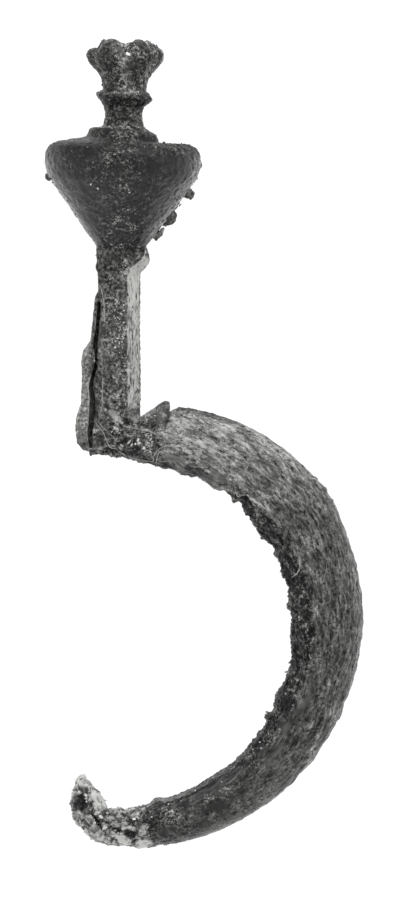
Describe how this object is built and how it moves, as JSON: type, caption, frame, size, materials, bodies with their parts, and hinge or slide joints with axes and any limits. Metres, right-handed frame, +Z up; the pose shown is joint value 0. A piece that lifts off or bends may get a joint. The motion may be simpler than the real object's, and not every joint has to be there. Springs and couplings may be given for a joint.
{
  "type": "fibula brooch",
  "caption": "Broken ancient bow brooch of cast bronze: C-shaped bow, straight foot with a pin catch, and a conical knob with a ringed, lobed finial. Spring and pin are lost.",
  "frame": {"origin": "on the table, under the middle of the brooch's bounding box as it lies on its side", "axes": "+Y along the foot towards the knob, +X from the pin's side towards the crown of the bow, +Z up from the table"},
  "size_m": [0.0274, 0.07, 0.0134],
  "materials": {
    "bronze": "dark corroded bronze, grainy and streaked, with paler crust on the broken end and the foot"
  },
  "bodies": {
    "root": {"brooch": "bronze"}
  },
  "joints": []
}
